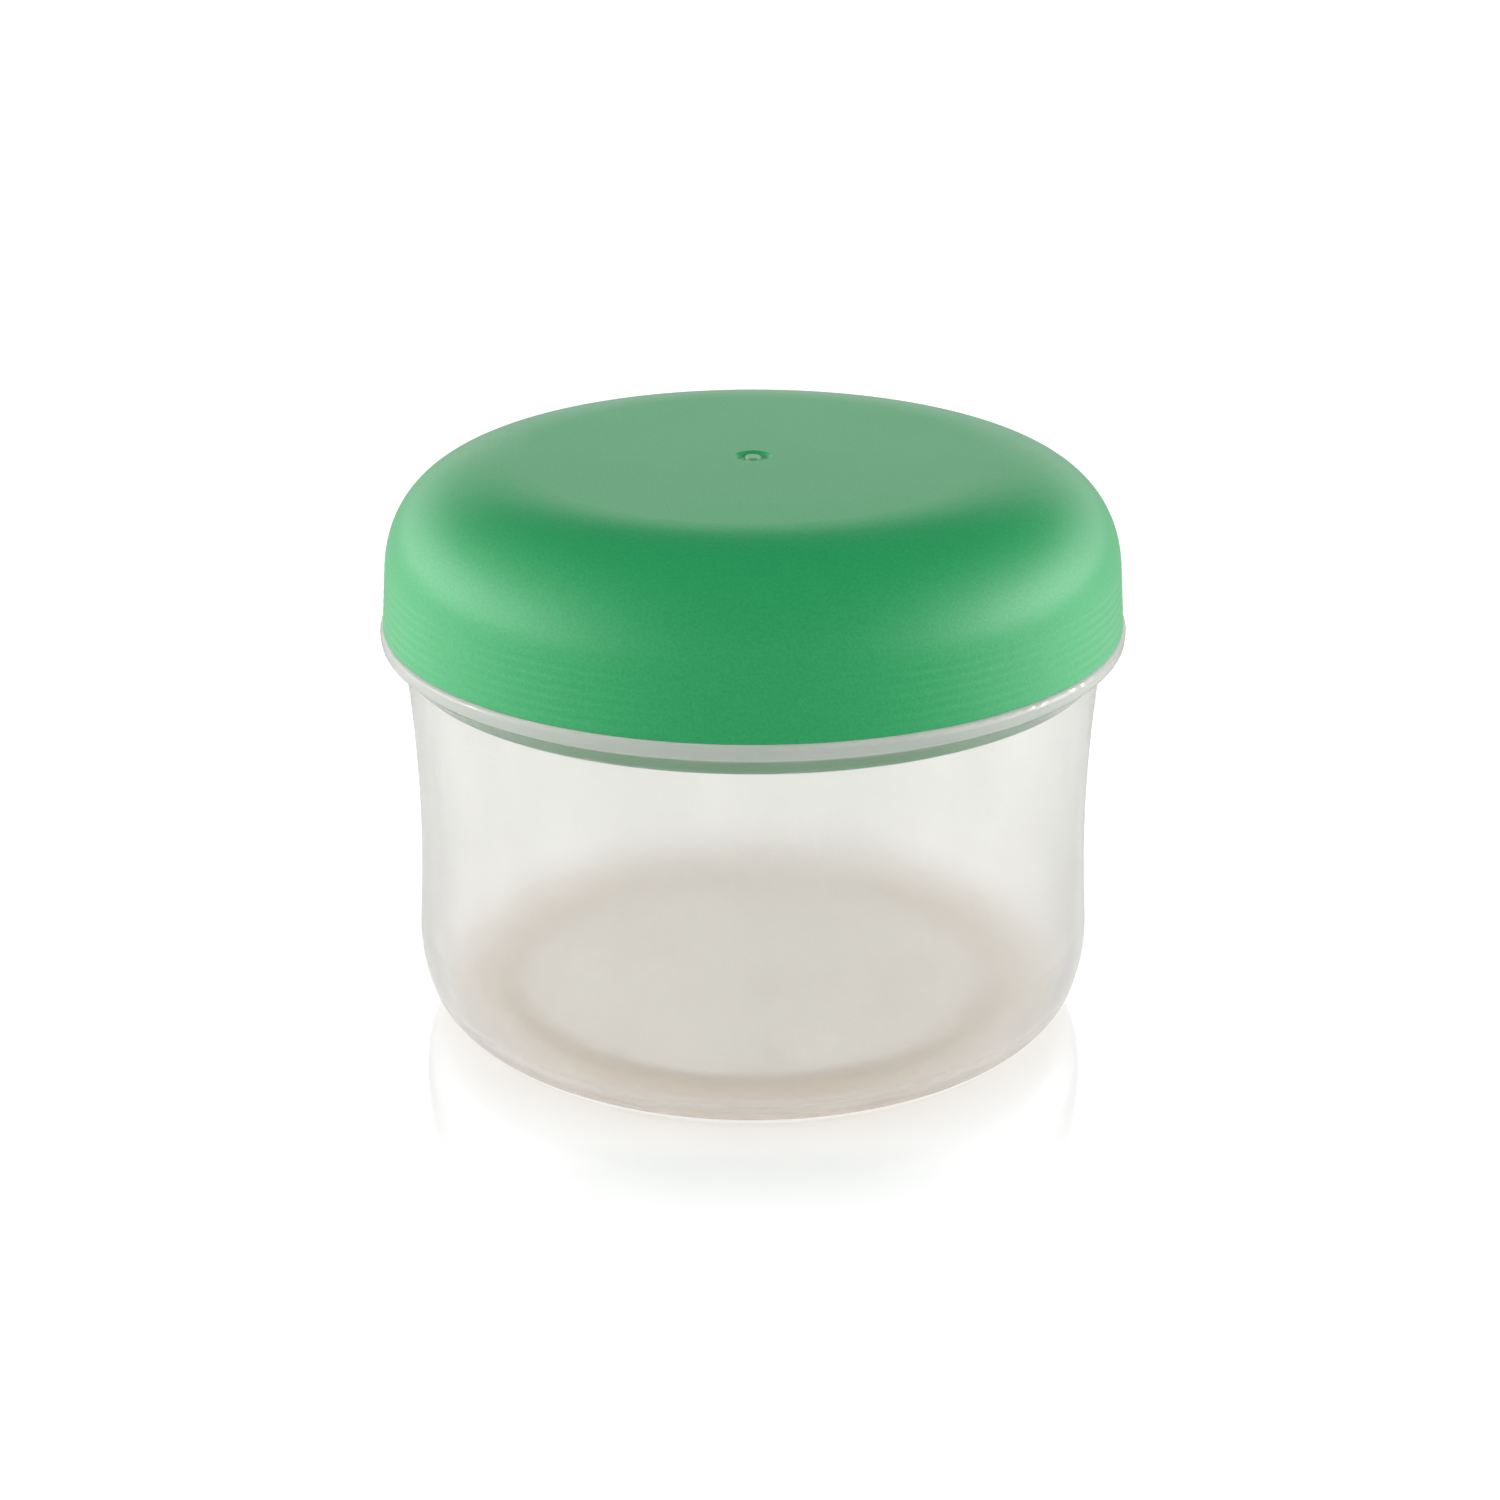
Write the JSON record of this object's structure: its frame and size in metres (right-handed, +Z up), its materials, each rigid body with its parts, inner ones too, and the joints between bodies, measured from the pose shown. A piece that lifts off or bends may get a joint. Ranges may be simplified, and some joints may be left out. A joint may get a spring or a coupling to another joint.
{
  "type": "snap lid food container",
  "caption": "Small round snack container: a translucent bowl with a flange and snap neck, closed by a domed lid with a plug seal.",
  "frame": {"origin": "centre of the foot ring, on the surface the bowl stands on", "axes": "+Z up along the axis the bowl and lid are turned about; X and Y are free, as the shape is round"},
  "size_m": [0.0826, 0.0826, 0.0639],
  "materials": {
    "bowl_translucent": "translucent natural polypropylene, satin inside and glossy on the flange",
    "lid_green": "opaque green polypropylene with a fine satin texture"
  },
  "bodies": {
    "bowl": {"bowl": "bowl_translucent"},
    "lid": {"lid": "lid_green"}
  },
  "joints": [
    {"name": "lid_lift", "type": "slide", "parent": "bowl", "child": "lid", "axis": [0, 0, 1], "range_m": [0, 0.06]}
  ]
}
